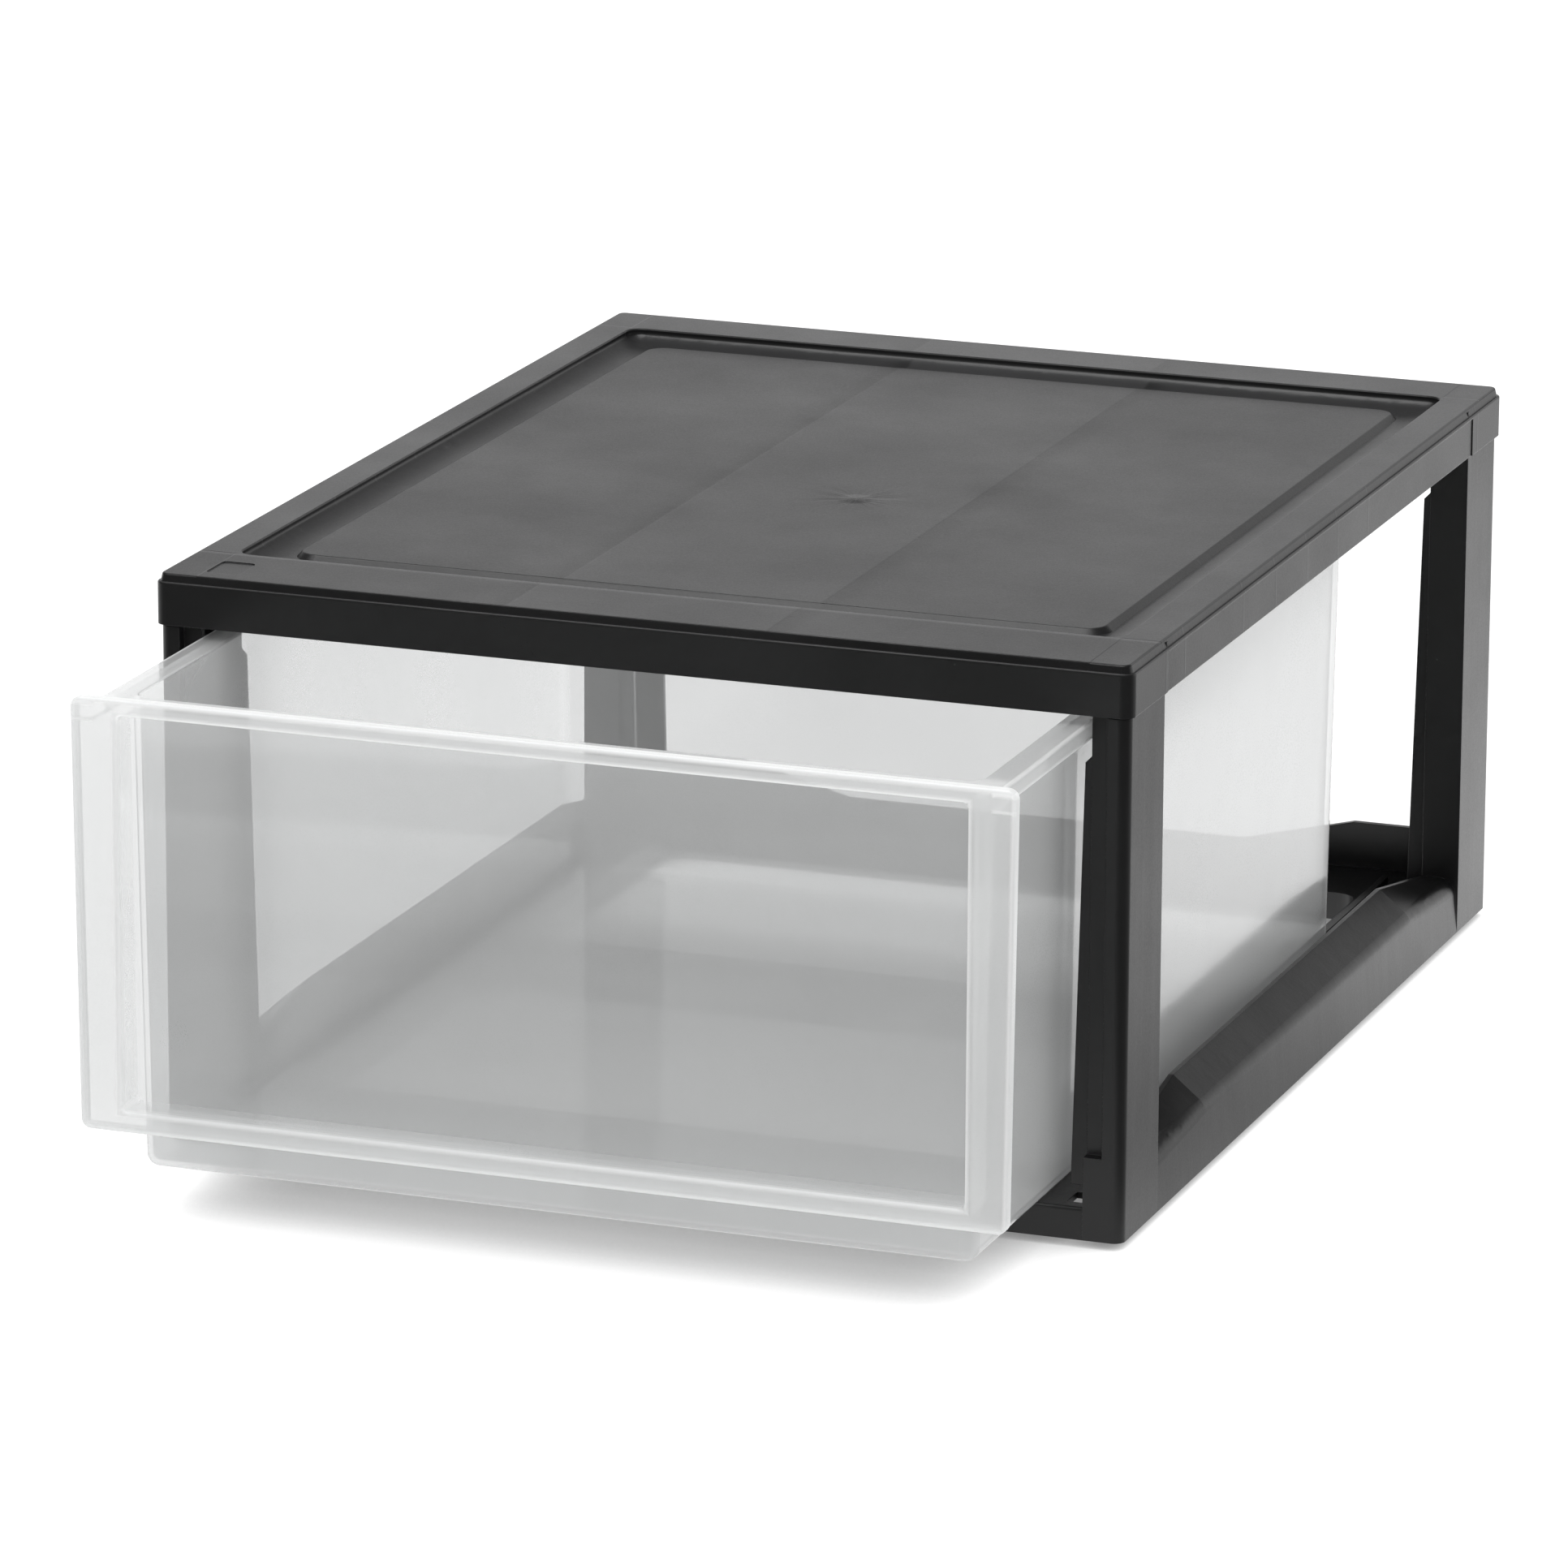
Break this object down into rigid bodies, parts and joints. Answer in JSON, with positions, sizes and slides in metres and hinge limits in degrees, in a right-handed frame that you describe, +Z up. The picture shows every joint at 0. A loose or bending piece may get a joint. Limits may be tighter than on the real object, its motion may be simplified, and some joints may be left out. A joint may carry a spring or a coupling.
{
  "type": "stackable drawer box",
  "caption": "Low open frame with a snapped-on recessed cover and corner posts, holding a translucent pull-out drawer with a full-width front flange.",
  "frame": {"origin": "middle of the whole object's footprint at rest, on the ground under the feet", "axes": "+Z up, -Y out of the drawer's front, +X to the right seen from the front"},
  "size_m": [0.4, 0.603, 0.231],
  "materials": {
    "frame_plastic": "fine matte moulded grain",
    "drawer_plastic": "glossy translucent moulded plastic"
  },
  "bodies": {
    "frame": {"base_frame": "frame_plastic", "top_cover": "frame_plastic"},
    "drawer": {"drawer": "drawer_plastic"}
  },
  "joints": [
    {"name": "drawer_slide", "type": "slide", "parent": "frame", "child": "drawer", "axis": [0, -1, 0], "range_m": [-0.1045, 0.2245]}
  ]
}
